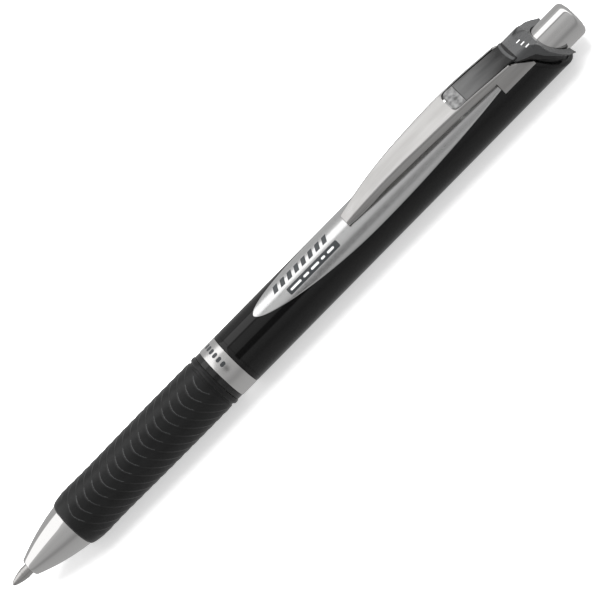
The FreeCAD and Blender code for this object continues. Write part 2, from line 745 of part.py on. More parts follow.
def make_refill_point():
    socket = "ball_radius + ball_gap"
    outline = [
        ("lip_front", socket),
        ("lip_front", f"{socket} + lip_wall"),
        ("point_cone_end", "point_cone_radius"),
        ("point_cone_end", "point_radius"),
        ("point_end", "point_radius"),
        ("point_end", "point_bore_radius"),
        ("point_bore_front", "point_bore_radius"),
        ("ink_channel_end", "ink_channel_radius"),
        ("socket_end", "ink_channel_radius"),
        ("socket_end", socket),
    ]
    finish(turned_body("refill_point", outline), "refill_point")


def make_refill_holder():
    outline = [
        ("holder_front", "point_radius + slack"),
        ("holder_front", "holder_front_radius"),
        ("holder_front + holder_radius - holder_front_radius", "holder_radius"),
        ("holder_shoulder", "holder_radius"),
        ("holder_shoulder", "holder_shoulder_radius"),
        ("holder_collar", "ink_tube_radius"),
        ("ink_tube_front - slack", "ink_tube_radius"),
        ("ink_tube_front - slack", "holder_plug_radius"),
        ("holder_end", "holder_plug_radius"),
        ("holder_end", "holder_bore_radius"),
        ("point_end + slack", "holder_bore_radius"),
        ("point_end + slack", "point_radius + slack"),
    ]
    finish(turned_body("refill_holder", outline), "refill_holder")


def make_ink_tube():
    outline = [
        ("ink_tube_front", "ink_tube_bore"),
        ("ink_tube_front", "ink_tube_radius"),
        ("ink_tube_rear", "ink_tube_radius"),
        ("ink_tube_rear", "ink_tube_bore"),
    ]
    finish(turned_body("ink_tube", outline), "ink_tube")


def make_filling(name, front, rear):
    """Ink or grease: a solid column in the ink tube."""
    outline = [(front, "0"), (front, "fill_radius"), (rear, "fill_radius"), (rear, "0")]
    finish(turned_body(name, outline), name)


def make_refill_plug():
    outline = [
        ("plug_front", "vent_radius"),
        ("plug_front", "holder_plug_radius"),
        ("ink_tube_rear + slack", "holder_plug_radius"),
        ("ink_tube_rear + slack", "ink_tube_radius"),
        ("plug_rear", "ink_tube_radius"),
        ("plug_rear", "vent_radius"),
    ]
    finish(turned_body("refill_plug", outline), "refill_plug")


def make_return_spring():
    body = doc.addObject("PartDesign::Body", "return_spring")
    section = body_sketch(body, "wire_section", "XZ_Plane")
    place = ("spring_seat + wire_radius + slack", "coil_radius")
    centre = Vector(number(place[0]), number(place[1]), 0)
    circle = section.addGeometry(Part.Circle(centre, Vector(0, 0, 1), number("wire_radius")))
    at = section.addConstraint(Sketcher.Constraint("Radius", circle, number("wire_radius")))
    section.setExpression(f"Constraints[{at}]", bound("wire_radius"))
    fix_point(section, circle, 3, place)
    coil = body.newObject("PartDesign::AdditiveHelix", "coil")
    coil.Profile = section
    coil.ReferenceAxis = (section, ["H_Axis"])
    coil.Mode = "pitch-turns-angle"
    coil.setExpression("Pitch", bound("coil_pitch"))
    coil.setExpression("Turns", bound("coil_turns"))
    section.Visibility = False
    doc.recompute()
    finish(body, "return_spring")


# ---------------------------------------------------------------- assembly and export

def check(thing):
    bad = [state for state in thing.State if state in ("Invalid", "Error")]
    if bad:
        raise RuntimeError(f"{thing.Label}: {bad}")


def export():
    os.makedirs("parts", exist_ok=True)
    for thing in doc.Objects:
        check(thing)
    for node in nodes:
        shape = node.Shape
        if shape.isNull() or not shape.isValid() or not shape.Solids:
            raise RuntimeError(f"{node.Label}: no valid solid")
        box = shape.BoundBox
        print(f"{node.Label:16s} solids {len(shape.Solids)} volume {shape.Volume:9.2f}"
              f"  x {box.XMin:7.2f} {box.XMax:7.2f}  z {box.ZMin:6.2f} {box.ZMax:6.2f}")
        shape.exportStep(f"parts/{node.Label}.step")


fill_sheet()
make_nose_cone()
make_front_tube()
make_grip_sleeve()
make_trim_band()
make_barrel()
make_inlay_plate()
make_clip_arm()
make_clip_root()
make_tail_cap()
make_plunger()
make_thrust_tube()
make_rotor()
make_cam_guide()
make_refill_ball()
make_refill_point()
make_refill_holder()
make_ink_tube()
make_filling("ink", "holder_end + slack", "ink_rear")
make_filling("grease_follower", "ink_rear + slack", "grease_rear")
make_refill_plug()
make_return_spring()
doc.recompute()
export()
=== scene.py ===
"""Looks of the gel pen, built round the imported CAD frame.

Pen coordinates, as in the CAD model: s is the distance in millimetres from the writing point
along the pen, r the distance from its axis, and an angle is measured from the clip's side (+Z)
towards -Y. place() turns them into the frame's metres.
"""
import math
import bmesh
import bpy
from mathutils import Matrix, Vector


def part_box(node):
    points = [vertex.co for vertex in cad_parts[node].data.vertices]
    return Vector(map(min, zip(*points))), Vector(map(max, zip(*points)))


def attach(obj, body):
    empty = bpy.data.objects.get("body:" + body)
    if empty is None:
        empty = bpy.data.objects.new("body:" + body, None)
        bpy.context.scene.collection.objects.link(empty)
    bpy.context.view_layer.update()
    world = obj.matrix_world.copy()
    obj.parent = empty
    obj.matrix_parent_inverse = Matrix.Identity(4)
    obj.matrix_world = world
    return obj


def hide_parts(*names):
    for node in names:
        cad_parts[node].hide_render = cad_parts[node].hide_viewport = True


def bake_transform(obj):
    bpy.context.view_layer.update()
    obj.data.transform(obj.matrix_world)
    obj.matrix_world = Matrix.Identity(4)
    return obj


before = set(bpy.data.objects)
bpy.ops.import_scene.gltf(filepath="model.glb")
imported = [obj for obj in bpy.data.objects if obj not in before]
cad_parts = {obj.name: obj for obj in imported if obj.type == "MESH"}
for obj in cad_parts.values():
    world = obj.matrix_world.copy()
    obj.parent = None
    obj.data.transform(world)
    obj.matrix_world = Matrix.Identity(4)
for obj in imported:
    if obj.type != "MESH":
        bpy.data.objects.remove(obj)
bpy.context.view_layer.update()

MM = 0.001
TIP_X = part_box("refill_ball")[0].x
GRIP_LOW, GRIP_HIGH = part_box("grip_sleeve")
AXIS_Z = (GRIP_LOW.z + GRIP_HIGH.z) / 2


def reach(node):
    """First and last distance s of a CAD node along the pen."""
    low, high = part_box(node)
    return (low.x - TIP_X) / MM, (high.x - TIP_X) / MM


NOSE = reach("nose_cone")
GRIP = reach("grip_sleeve")
BAND = reach("trim_band")
BARREL = reach("barrel")
INLAY = reach("inlay_plate")
CLIP = reach("clip_arm")
ROOT = reach("clip_root")
BUTTON = reach("plunger")

BARREL_R = 5.55                   # outside of the barrel
BORE_R = 4.6                      # its bore
TUBE_R = 4.4                      # front tube under the grip
TUBE_THREAD_R, TUBE_THREAD_END = 3.8, 24.0
TUBE_BORE_R = 3.4
BEAD_R = (GRIP_HIGH.z - AXIS_Z) / MM
WINDOW_LINE = 120.4               # line across the tongue in the clip's slot


def place(s, r, angle):
    return Vector((TIP_X + s * MM, -r * MM * math.sin(angle), AXIS_Z + r * MM * math.cos(angle)))


def place_yz(s, y, z):
    return Vector((TIP_X + s * MM, y * MM, AXIS_Z + z * MM))


# ------------------------------------------------------------------ curves

def mix(a, b, t):
    return a + (b - a) * t


def smooth(t):
    t = min(1.0, max(0.0, t))
    return t * t * (3 - 2 * t)


def along(table, x):
    """Smooth value at x from a few (x, value) pairs in rising x."""
    if x <= table[0][0]:
        return table[0][1]
    for i in range(len(table) - 1):
        (x0, y0), (x1, y1) = table[i], table[i + 1]
        if x <= x1:
            before = table[max(i - 1, 0)]
            after = table[min(i + 2, len(table) - 1)]
            m0 = (y1 - before[1]) / (x1 - before[0])
            m1 = (after[1] - y0) / (after[0] - x0)
            t = (x - x0) / (x1 - x0)
            d = x1 - x0
            return ((2 * t ** 3 - 3 * t ** 2 + 1) * y0 + (t ** 3 - 2 * t ** 2 + t) * d * m0
                    + (3 * t ** 2 - 2 * t ** 3) * y1 + (t ** 3 - t ** 2) * d * m1)
    return table[-1][1]


def arc(a, b, radius, steps=10):
    """Points from a to b on an arc that bulges to the left of that direction."""
    ax, ay = a
    bx, by = b
    half = math.hypot(bx - ax, by - ay) / 2
    rise = math.sqrt(radius ** 2 - half ** 2)
    ux, uy = (bx - ax) / (2 * half), (by - ay) / (2 * half)
    cx, cy = (ax + bx) / 2 + uy * rise, (ay + by) / 2 - ux * rise
    begin = math.atan2(ay - cy, ax - cx)
    sweep = -2 * math.asin(half / radius)
    return [(cx + radius * math.cos(begin + sweep * i / steps),
             cy + radius * math.sin(begin + sweep * i / steps)) for i in range(steps + 1)]


def soften(points, radius, steps=3):
    """Closed outline with its corners rounded."""
    out = []
    count = len(points)
    for i, p in enumerate(points):
        a, b = Vector(points[i - 1]), Vector(points[(i + 1) % count])
        p = Vector(p)
        to_a, to_b = a - p, b - p
        if to_a.length < 1e-6 or to_b.length < 1e-6 or to_a.angle(to_b) > math.radians(165):
            out.append(tuple(p))
            continue
        cut = min(radius, 0.45 * to_a.length, 0.45 * to_b.length)
        start, end = p + to_a.normalized() * cut, p + to_b.normalized() * cut
        for k in range(steps + 1):
            t = k / steps
            q = start * (1 - t) ** 2 + p * 2 * t * (1 - t) + end * t ** 2
            out.append((q.x, q.y))
    return out


def spaced(a, b, step):
    """Values from a to b, about step apart, both ends included."""
    count = max(1, round(abs(b - a) / step))
    return [mix(a, b, i / count) for i in range(count + 1)]


# ------------------------------------------------------------------ meshes

def loft(loops, ring=False):
    """Vertices and faces of closed loops joined in order; the ends are capped unless ring."""
    size = len(loops[0])
    verts = [v for loop in loops for v in loop]
    faces = []
    count = len(loops)
    for i in range(count if ring else count - 1):
        a, b = i * size, ((i + 1) % count) * size
        for k in range(size):
            n = (k + 1) % size
            faces.append((a + k, a + n, b + n, b + k))
    if not ring:
        faces.append(tuple(range(size))[::-1])
        faces.append(tuple((count - 1) * size + k for k in range(size)))
    return verts, faces


def crease(mesh, angle):
    """Smooth shading with sharp edges where faces meet at more than angle degrees."""
    work = bmesh.new()
    work.from_mesh(mesh)
    bmesh.ops.remove_doubles(work, verts=work.verts, dist=2e-7)
    bmesh.ops.dissolve_degenerate(work, edges=work.edges, dist=1e-7)
    bmesh.ops.recalc_face_normals(work, faces=work.faces)
    for edge in work.edges:
        if len(edge.link_faces) == 2:
            edge.smooth = edge.calc_face_angle(0) < math.radians(angle)
    for face in work.faces:
        face.smooth = True
    work.to_mesh(mesh)
    work.free()


def piece(name, shell, material, body, stands_for=(), angle=32, modify=None):
    """A finished piece: mesh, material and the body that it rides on."""
    mesh = bpy.data.meshes.new(name)
    mesh.from_pydata([tuple(v) for v in shell[0]], [], shell[1])
    obj = bpy.data.objects.new(name, mesh)
    bpy.context.scene.collection.objects.link(obj)
    if modify:
        modify(obj)
        evaluated = obj.evaluated_get(bpy.context.evaluated_depsgraph_get())
        mesh = bpy.data.meshes.new_from_object(evaluated)
        obj.modifiers.clear()
        obj.data = mesh
    crease(mesh, angle)
    mesh.materials.clear()
    mesh.materials.append(material)
    if body:
        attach(obj, body)
    if stands_for:
        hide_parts(*stands_for)
    return obj


def turned(profile, count=160):
    """Shell of a closed profile of (s, r) turned about the pen's axis; profile may be a
    function of the angle."""
    shape = profile if callable(profile) else (lambda angle: profile)
    loops = []
    for k in range(count):
        angle = 2 * math.pi * k / count
        loops.append([place(s, r, angle) for s, r in shape(angle)])
    return loft(loops, ring=True)


# ------------------------------------------------------------------ materials

class Nodes:
    """Small helper that builds a procedural material."""

    def __init__(self, name):
        self.material = bpy.data.materials.new(name)
        self.material.use_nodes = True
        self.tree = self.material.node_tree
        self.shader = self.tree.nodes["Principled BSDF"]
        self.where = self.add("ShaderNodeTexCoord").outputs["Object"]

    def add(self, kind, inputs=(), **settings):
        node = self.tree.nodes.new(kind)
        for key, value in settings.items():
            setattr(node, key, value)
        for key, value in dict(inputs).items():
            if hasattr(value, "is_output"):
                self.tree.links.new(value, node.inputs[key])
            else:
                node.inputs[key].default_value = value
        return node

    def set(self, **values):
        for key, value in values.items():
            socket = self.shader.inputs[key.replace("_", " ")]
            if hasattr(value, "is_output"):
                self.tree.links.new(value, socket)
            else:
                socket.default_value = value

    def stretched(self, scale):
        return self.add("ShaderNodeMapping", {"Vector": self.where, "Scale": scale}).outputs[0]

    def noise(self, scale, detail=3.0, stretch=(1, 1, 1), rough=0.5):
        vector = self.stretched(stretch)
        return self.add("ShaderNodeTexNoise", {
            "Vector": vector, "Scale": scale, "Detail": detail, "Roughness": rough}).outputs["Fac"]

    def spread(self, value, low, high, start=0.3, end=0.7):
        """A noise value mapped to a range of numbers."""
        return self.add("ShaderNodeMapRange", {
            "Value": value, "From Min": start, "From Max": end,
            "To Min": low, "To Max": high}).outputs[0]

    def blend(self, factor, first, second):
        node = self.add("ShaderNodeMix", data_type="RGBA")
        self.tree.links.new(factor, node.inputs[0])
        node.inputs[6].default_value = first
        node.inputs[7].default_value = second
        return node.outputs[2]

    def bump(self, height, strength, distance):
        node = self.add("ShaderNodeBump", {
            "Height": height, "Strength": strength, "Distance": distance})
        self.tree.links.new(node.outputs[0], self.shader.inputs["Normal"])


def grey(value, warmth=0.0):
    return (value * (1 + warmth), value, value * (1 - warmth), 1.0)


def plated_metal(name, tone, low, high):
    """Polished plating: faint smudges in its roughness and a trace of orange peel."""
    made = Nodes(name)
    smudge = made.noise(220.0, 5.0)
    tint = made.blend(made.noise(90.0, 2.0), grey(tone, 0.01), grey(tone * 0.96, 0.01))
    made.set(Base_Color=tint, Metallic=1.0, Roughness=made.spread(smudge, low, high))
    made.bump(made.noise(700.0, 2.0), 0.06, 0.00002)
    return made.material


def satin_sheet(name):
    """Satin stainless sheet with fine grain along its length."""
    made = Nodes(name)
    grain = made.noise(900.0, 4.0, (0.04, 1.0, 1.0), 0.6)
    broad = made.noise(60.0, 2.0)
    tint = made.blend(made.spread(grain, 0.0, 1.0), grey(0.60, 0.012), grey(0.53, 0.02))
    rough = made.add("ShaderNodeMath", {0: made.spread(grain, 0.26, 0.36),
                                        1: made.spread(broad, -0.02, 0.03)}, operation="ADD")
    made.set(Base_Color=tint, Metallic=1.0, Roughness=rough.outputs[0], Anisotropic=0.3)
    made.bump(grain, 0.12, 0.00002)
    return made.material


def foil(name):
    """Bright silver plate of the inlay."""
    made = Nodes(name)
    fine = made.noise(1500.0, 3.0)
    tint = made.blend(made.noise(120.0, 2.0), grey(0.88), grey(0.83))
    made.set(Base_Color=tint, Metallic=1.0, Roughness=made.spread(fine, 0.20, 0.26))
    made.bump(fine, 0.05, 0.00001)
    return made.material


def gloss_plastic(name, tone, low=0.03, high=0.08):
    """Polished moulded plastic with faint hairlines."""
    made = Nodes(name)
    hair = made.noise(500.0, 4.0, (0.15, 1.0, 1.0))
    tint = made.blend(made.noise(140.0, 3.0), grey(tone), grey(tone * 1.35))
    made.set(Base_Color=tint, Roughness=made.spread(hair, low, high), IOR=1.45)
    made.bump(made.noise(260.0, 1.0), 0.05, 0.00002)
    return made.material


def rubber(name, tone):
    """Soft grip: matt, slightly paler where it is worn, with a fine moulded grain."""
    made = Nodes(name)
    grain = made.noise(5200.0, 3.0)
    dust = made.noise(380.0, 5.0, (0.5, 1.0, 1.0))
    tint = made.blend(made.spread(dust, 0.0, 1.0), grey(tone, -0.02), grey(tone * 1.6, -0.02))
    made.set(Base_Color=tint, Roughness=made.spread(dust, 0.30, 0.38), IOR=1.40)
    made.shader.inputs["Sheen Weight"].default_value = 0.05
    made.shader.inputs["Sheen Roughness"].default_value = 0.5
    made.bump(grain, 0.25, 0.00003)
    return made.material


def smoke(name, tone, clear):
    """Tinted translucent plastic; clear is how much light passes."""
    made = Nodes(name)
    swirl = made.noise(150.0, 2.0, (0.4, 1.0, 1.0))
    tint = made.blend(made.spread(swirl, 0.0, 1.0), grey(tone, -0.015), grey(tone * 1.25, -0.015))
    made.set(Base_Color=tint, Roughness=made.spread(made.noise(400.0), 0.24, 0.32), IOR=1.38)
    made.shader.inputs["Transmission Weight"].default_value = clear
    made.bump(made.noise(300.0, 1.0), 0.04, 0.00002)
    return made.material


def window(name):
    """Smoke tongue in the clip's slot: speckled in front of its line, partly inner detail and
    partly a painted highlight, then darker towards the cap, with soft streaks inside."""
    made = Nodes(name)
    place_x = made.add("ShaderNodeSeparateXYZ", {0: made.where}).outputs[0]
    line, cap_end = place(WINDOW_LINE, 0, 0).x, place(131.0, 0, 0).x
    rearwards = made.spread(place_x, 0.0, 1.0, line - 0.2 * MM, cap_end)
    streak = made.spread(made.noise(420.0, 2.0, (0.12, 1.0, 1.0)), -0.25, 0.25)
    fade = made.add("ShaderNodeMath", {0: rearwards, 1: streak}, operation="ADD")
    fade.use_clamp = True
    body = made.blend(fade.outputs[0], grey(0.115), grey(0.012))
    step = made.spread(place_x, 1.0, 0.0, line - 0.1 * MM, line + 0.1 * MM)
    tint = made.add("ShaderNodeMix", data_type="RGBA")
    made.tree.links.new(step, tint.inputs[0])
    made.tree.links.new(body, tint.inputs[6])
    # speckle in front of the line: a painted highlight streak over the tongue's inner detail
    depth = made.blend(made.spread(made.noise(1100.0, 3.0), 0.0, 1.0), grey(0.09), grey(0.30))
    made.tree.links.new(depth, tint.inputs[7])
    made.set(Base_Color=tint.outputs[2], Roughness=made.spread(streak, 0.08, 0.16), IOR=1.36)
    made.shader.inputs["Transmission Weight"].default_value = 0.15
    made.bump(made.noise(300.0, 1.0), 0.08, 0.00002)
    return made.material


def moulded(name, tone, warmth=0.0, clear=0.0):
    """Plain technical plastic of the mechanism and the refill."""
    made = Nodes(name)
    cloud = made.noise(250.0, 3.0)
    tint = made.blend(made.spread(cloud, 0.0, 1.0), grey(tone, warmth), grey(tone * 0.9, warmth))
    made.set(Base_Color=tint, Roughness=made.spread(cloud, 0.3, 0.45), IOR=1.48)
    made.shader.inputs["Transmission Weight"].default_value = clear
    made.bump(made.noise(1800.0, 2.0), 0.1, 0.00002)
    return made.material


def turned_metal(name, tone, warmth):
    """Turned metal: fine rings round the axis."""
    made = Nodes(name)
    rings = made.noise(4000.0, 3.0, (1.0, 0.02, 0.02))
    tint = made.blend(made.spread(rings, 0.0, 1.0), grey(tone, warmth), grey(tone * 0.85, warmth))
    made.set(Base_Color=tint, Metallic=1.0, Roughness=made.spread(rings, 0.2, 0.32))
    made.bump(rings, 0.15, 0.00001)
    return made.material


def ink_print(name, tone, warmth=0.0):
    """Printed marks."""
    made = Nodes(name)
    speck = made.noise(3000.0, 2.0)
    tint = made.blend(made.spread(speck, 0.0, 1.0), grey(tone, warmth), grey(tone * 1.15, warmth))
    made.set(Base_Color=tint, Roughness=made.spread(speck, 0.3, 0.4))
    return made.material


CHROME = plated_metal("satin_chrome", 0.82, 0.06, 0.12)
BUTTON_CHROME = plated_metal("button_chrome", 0.82, 0.08, 0.14)
SILVER = plated_metal("band_silver", 0.82, 0.24, 0.27)
STEEL = satin_sheet("satin_sheet")
FOIL = foil("inlay_foil")
BLACK = gloss_plastic("black_gloss", 0.0035)
COLLAR = gloss_plastic("collar_gloss", 0.012, 0.08, 0.16)
RUBBER = rubber("grip_rubber", 0.0045)
# paler rubber: a painted highlight for the lit edges of the grip's ridges
RIDGE_HIGHLIGHT_RUBBER = rubber("ridge_highlight_rubber", 0.035)
SMOKE = smoke("smoke_cap", 0.060, 0.15)
WINDOW = window("smoke_window")
# darker smoke; on the cap's front facet it is painted shade
DARK_SMOKE = gloss_plastic("sleeve_gloss", 0.009, 0.25, 0.35)
NATURAL = moulded("natural_plastic", 0.7, 0.02)
DARK_PLASTIC = moulded("dark_plastic", 0.02)
CLEAR = moulded("clear_plastic", 0.85, 0.0, 0.8)
INK = gloss_plastic("black_ink", 0.002)
GREASE = moulded("grease", 0.75, 0.05, 0.5)
NICKEL = turned_metal("nickel_silver", 0.62, 0.02)
BALL = plated_metal("ball_metal", 0.6, 0.1, 0.2)
WIRE = plated_metal("spring_wire", 0.6, 0.15, 0.25)
DARK_PRINT = ink_print("dark_print", 0.035, -0.08)
PALE_PRINT = ink_print("pale_print", 0.8)


# ------------------------------------------------------------------ front end

def make_nose():
    """Cone with its bore and the threaded spigot that hides in the front tube."""
    rim, point_hole, spring_bore, core = 1.66, 1.3, 2.4, 3.2
    spigot, lead, depth = 3.72, 1.0, 0.3
    shoulder, seat, bore_end = 15.65, 8.4, 13.2
    cone = arc((NOSE[0] + 0.2, 1.9), (shoulder - 0.12, 4.75), 46.5, 24)
    rows = spaced(shoulder + 0.8, NOSE[1] - 0.5, lead / 8)

    def profile(angle):
        thread = []
        for s in rows:
            phase = ((s / lead + angle / (2 * math.pi)) % 1.0) * 2 - 1
            fade = smooth((s - rows[0]) / lead) * smooth((rows[-1] - s) / lead)
            thread.append((s, spigot - depth * fade * max(0.0, 1 - 2.2 * abs(phase))))
        return ([(NOSE[0], point_hole), (NOSE[0], rim), (NOSE[0] + 0.07, rim + 0.14)] + cone
                + [(shoulder, 4.68), (shoulder, spigot)] + thread
                + [(NOSE[1] - 0.2, spigot), (NOSE[1], spigot - 0.2), (NOSE[1], core),
                   (bore_end, core), (bore_end, spring_bore), (seat, spring_bore),
                   (seat, point_hole)])

    piece("nose_shell", turned(profile, 192), CHROME, "nose", ["nose_cone"])


def make_point():
    """Cone, step and shank of the writing point."""
    socket, socket_end, channel, bore, shank, rear = 0.37, 0.72, 0.25, 0.6, 1.12, 16.0
    profile = [(0.28, socket), (0.26, socket + 0.03), (0.34, socket + 0.075)]
    profile += arc((0.5, 0.50), (2.78, 1.08), 9.0, 10)
    profile += [(2.80, 1.045), (2.86, 1.045), (2.88, 1.10), (2.95, shank), (rear, shank),
                (rear, bore), (3.2, bore), (2.6, channel), (socket_end, channel),
                (socket_end, socket)]
    piece("writing_point", turned(profile, 96), NICKEL, "refill",
          ["refill_point"], angle=25)


def make_front_tube():
    """Inner tube; only its collar shows between the grip and the band."""
    front, rear = reach("front_tube")
    collar = (GRIP[1] + 0.02, BAND[0] - 0.02)
    profile = [(front, TUBE_THREAD_R), (front, TUBE_R), (collar[0], TUBE_R), (collar[0], 5.34),
               (collar[0] + 0.1, 5.45), (collar[1] - 0.08, 5.45), (collar[1], 5.38),
               (collar[1], 4.9), (BAND[1], 4.9), (BAND[1], 4.58), (rear - 0.4, 4.58),
               (rear, 4.3), (rear, TUBE_BORE_R), (TUBE_THREAD_END, TUBE_BORE_R),
               (TUBE_THREAD_END, TUBE_THREAD_R)]
    piece("inner_tube", turned(profile, 128), COLLAR, "barrel", ["front_tube"])


def grip_radius(s):
    """Outline of the grip without its ridges."""
    front = GRIP[0]
    table = [(front, 4.86), (front + 0.35, 5.04), (front + 0.9, 5.21), (front + 1.9, 5.36),
             (front + 3.2, 5.43), (24.0, 5.35), (32.0, 5.43), (40.0, 5.49), (51.0, 5.49)]
    return along(table, s)


def make_grip():
    """Rubber sleeve with overlapping scale ridges; each ridge is a rounded chevron whose apex
    points at the writing end on the viewer's side of the clip."""
    pitch, height = 2.02, 0.13
    apex = math.radians(23)
    slope, bend = 0.85, 2.3
    bead = GRIP[1] - 1.0
    first_ridge, last_ridge = GRIP[0] + 1.6, bead - 1.35
    rows = spaced(GRIP[0] + 0.08, bead - 0.62, 0.125)

    def chevron(angle):
        away = abs((angle - apex + math.pi) % (2 * math.pi) - math.pi)
        away = math.pi - math.sqrt((math.pi - away) ** 2 + 0.2 ** 2) + 0.006
        arc_length = 5.45 * max(0.0, away)
        return slope * (math.sqrt(arc_length ** 2 + bend ** 2) - bend)

    def ridge(s, shift):
        phase = ((s - shift - first_ridge) / pitch) % 1.0
        step = smooth(phase / 0.16) if phase < 0.16 else 1 - ((phase - 0.16) / 0.84) ** 0.8
        fade = smooth((s - first_ridge) / 1.6) * smooth((last_ridge + 1.0 - s) / 1.2)
        return height * fade * (step - 0.35)

    def crest(s, angle):
        """Whether a ridge's edge runs here, on the side where it is sharp; these faces get the
        paler rubber, a painted highlight.
        """
        phase = ((s - chevron(angle) - first_ridge) / pitch) % 1.0
        near = abs((angle - apex + math.pi) % (2 * math.pi) - math.pi) < 0.42
        return near and 0.125 < phase < 0.19 and first_ridge < s < last_ridge + 1.0

    def profile(angle):
        shift = chevron(angle)
        outer = [(s, grip_radius(s) + ridge(s, shift)) for s in rows]
        tail = [(bead - 0.55, 5.46), (bead - 0.5, 5.32), (bead - 0.1, 5.30), (bead - 0.04, 5.40),
                (bead + 0.04, BEAD_R - 0.12), (bead + 0.2, BEAD_R - 0.02), (bead + 0.4, BEAD_R),
                (bead + 0.6, BEAD_R), (bead + 0.8, BEAD_R - 0.02), (bead + 0.94, BEAD_R - 0.11),
                (GRIP[1], BEAD_R - 0.22), (GRIP[1], 4.42)]
        return [(GRIP[0], 4.42), (GRIP[0], 4.76)] + outer + tail

    grip = piece("grip", turned(profile, 240), RUBBER, "barrel",
                 ["grip_sleeve"], angle=50)
    # faces along the sharp ridge edges on the viewer's side get the paler rubber: a painted
    # highlight
    grip.data.materials.append(RIDGE_HIGHLIGHT_RUBBER)
    for face in grip.data.polygons:
        x, y, z = face.center
        if math.hypot(y, z - AXIS_Z) > 5.0 * MM:
            face.material_index = int(crest((x - TIP_X) / MM, math.atan2(-y, z - AXIS_Z)))


def make_band():
    """Silver ring with bevelled edges."""
    a, b = BAND
    profile = [(a, 4.92), (a, 5.42), (a + 0.05, 5.50), (a + 0.16, BARREL_R),
               (b - 0.16, BARREL_R), (b - 0.05, 5.50), (b, 5.42), (b, 4.92)]
    piece("silver_band", turned(profile, 160), SILVER, "barrel", ["trim_band"])


# ------------------------------------------------------------------ barrel

BARREL_END, BARREL_SLOPE = 136.8, 0.74


def barrel_end(r, angle):
    return BARREL_END - BARREL_SLOPE * r * math.cos(angle)


def make_barrel():
    """Glossy tube with a fine groove behind the band and a bevelled, slanted rear end."""
    start = BARREL[0]
    groove = start + 0.95
    lip = 0.85

    def profile(angle):
        front = [(start, BORE_R), (start, 5.44), (start + 0.04, 5.52), (start + 0.12, BARREL_R),
                 (groove, BARREL_R), (groove + 0.03, 5.49), (groove + 0.13, 5.49),
                 (groove + 0.16, BARREL_R)]
        long_rows = [(s, BARREL_R) for s in spaced(60.0, 128.0, 4.0)]
        edge = barrel_end(BARREL_R, angle) - lip
        end = barrel_end(5.05, angle)
        tail = [(edge - 0.25, BARREL_R), (edge, BARREL_R), (edge + 0.05, 5.50),
                (edge + 0.13, 5.50), (edge + 0.18, 5.54), (mix(edge, end, 0.5), 5.50),
                (mix(edge, end, 0.72), 5.42), (mix(edge, end, 0.88), 5.28), (end, 5.05),
                (barrel_end(BORE_R + 0.08, angle), BORE_R + 0.08),
                (barrel_end(BORE_R, angle) - 0.1, BORE_R)]
        return front + long_rows + tail

    piece("barrel_tube", turned(profile, 192), BLACK, "barrel", ["barrel"],
          angle=28)


INLAY_WIDEST, INLAY_HALF, INLAY_REAR_AXIS = 94.4, 4.45, 46.9


def inlay_half_angle(s):
    """Half of the inlay's width at s, as an angle round the barrel."""
    axis = INLAY_WIDEST - INLAY[0] if s < INLAY_WIDEST else INLAY_REAR_AXIS
    share = max(0.0, 1 - ((s - INLAY_WIDEST) / axis) ** 2)
    return math.asin(INLAY_HALF * math.sqrt(share) / BARREL_R)


def make_inlay():
    """Thin lens-shaped plate that follows the barrel, with rolled edges."""
    stations = [INLAY_WIDEST - (INLAY_WIDEST - INLAY[0] - 0.004) * math.cos(math.pi / 2 * t / 40)
                for t in range(40)]
    stations += spaced(INLAY_WIDEST, INLAY[1], 1.6)
    columns = 36
    loops = []
    for s in stations:
        half = inlay_half_angle(s)
        roll = min(0.10 / BARREL_R, half * 0.4)
        outer = [(5.46, -half), (5.53, -half + roll * 0.4)]
        outer += [(5.565, mix(-half + roll, half - roll, k / columns)) for k in range(columns + 1)]
        outer += [(5.53, half - roll * 0.4), (5.46, half)]
        inner = [(5.28, mix(half, -half, k / 12)) for k in range(13)]
        loops.append([place(s, r, angle) for r, angle in outer + inner])
    piece("inlay", loft(loops), FOIL, "barrel", ["inlay_plate"], angle=40)


def mark(name, material, start, end, middle, width, slant=0.0, round_ends=0.0, lift=0.0):
    """Printed patch on the barrel: from start to end along the pen, centred on an angle in
    degrees, width in mm round the barrel; slant shifts its top edge along the pen."""
    radius = 5.575 + lift
    half = width / 2
    loops = []
    for s in spaced(start, end, min(0.12, (end - start) / 6)):
        inset = 0.0
        if round_ends:
            from_end = min(s - start, end - s)
            if from_end < round_ends:
                inset = round_ends - math.sqrt(round_ends ** 2 - (round_ends - from_end) ** 2)
        rows = [mix(-half + inset, half - inset, k / 8) for k in range(9)]
        outline = [(a, radius) for a in rows] + [(a, radius - 0.03) for a in reversed(rows)]
        loops.append([place(s - slant * a / half, r, math.radians(middle) + a / radius)
                      for a, r in outline])
    piece(name, loft(loops), material, "barrel")


def make_marks():
    """Plain decoration where the real pen is printed: slanted bars and a dark label."""
    bar, gap, first = 1.05, 0.72, 71.9
    for i in range(8):
        s = first + i * (bar + gap)
        mark(f"inlay_bar_{i + 1}", DARK_PRINT, s, s + bar, -8.0, 1.6, slant=0.32)
    mark("inlay_label", DARK_PRINT, 73.7, 86.3, 17.7, 1.5, round_ends=0.25)
    dash = 74.3
    for i, length in enumerate((2.6, 1.3, 1.9, 0.9, 1.6)):
        mark(f"label_dash_{i + 1}", PALE_PRINT, dash, dash + length, 17.7, 0.42,
             round_ends=0.15, lift=0.015)
        dash += length + 0.65
    for i in range(6):
        mark(f"band_dot_{i + 1}", DARK_PRINT, 55.6, 56.8, -36 + i * 12, 0.72,
             round_ends=0.35)


# ------------------------------------------------------------------ clip

